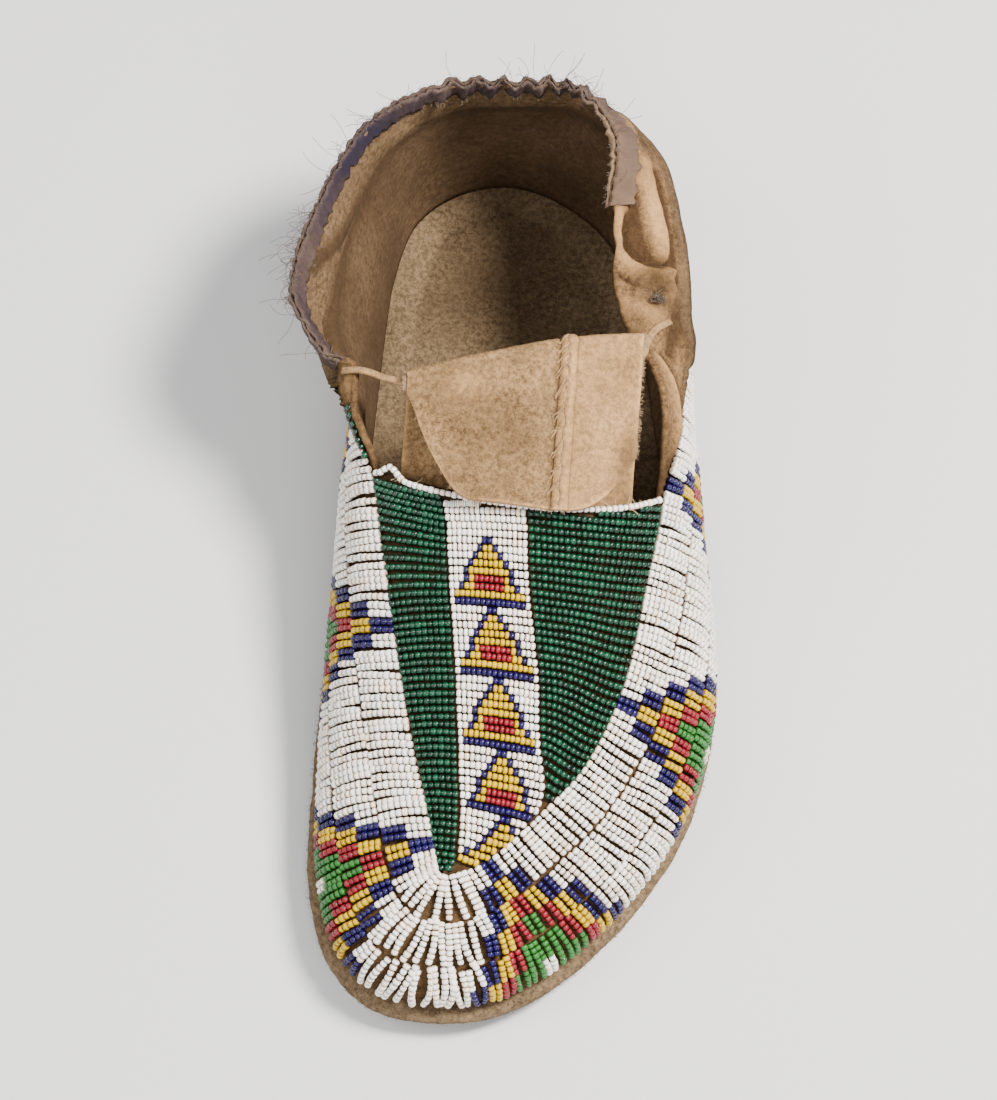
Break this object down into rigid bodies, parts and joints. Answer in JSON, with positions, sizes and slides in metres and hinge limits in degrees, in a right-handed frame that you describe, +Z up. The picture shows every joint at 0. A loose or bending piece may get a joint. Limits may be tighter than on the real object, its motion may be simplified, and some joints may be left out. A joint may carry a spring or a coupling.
{
  "type": "beaded moccasin",
  "caption": "Low hide moccasin for a left foot, with a rawhide sole, beaded sides and vamp, a folded tongue and a cloth-bound collar.",
  "frame": {"origin": "middle of the bounding box's bottom face, on the floor under the sole", "axes": "+Z up; the toe points to -Y and the heel to +Y; the big toe's side is -X"},
  "size_m": [0.1166, 0.2418, 0.0705],
  "materials": {
    "rawhide": "matt rawhide with a fuzzy rubbed edge",
    "smoked_hide": "brain-tanned hide, napped, mottled and dirty",
    "binding_cloth": "faded plain-woven cloth, gathered and frayed",
    "white_beads": "opaque chalk-white seed beads with motifs in other colours",
    "dark_green_beads": "translucent dark green seed beads"
  },
  "bodies": {
    "root": {"sole": "rawhide", "upper": "smoked_hide", "tongue": "smoked_hide", "tie_thong": "smoked_hide", "collar_binding": "binding_cloth", "bead_lane_lower": "white_beads", "bead_lane_middle": "white_beads", "bead_lane_upper": "white_beads", "bead_border": "dark_green_beads", "bead_field_medial": "dark_green_beads", "bead_field_centre": "white_beads", "bead_field_lateral": "dark_green_beads"}
  },
  "joints": []
}
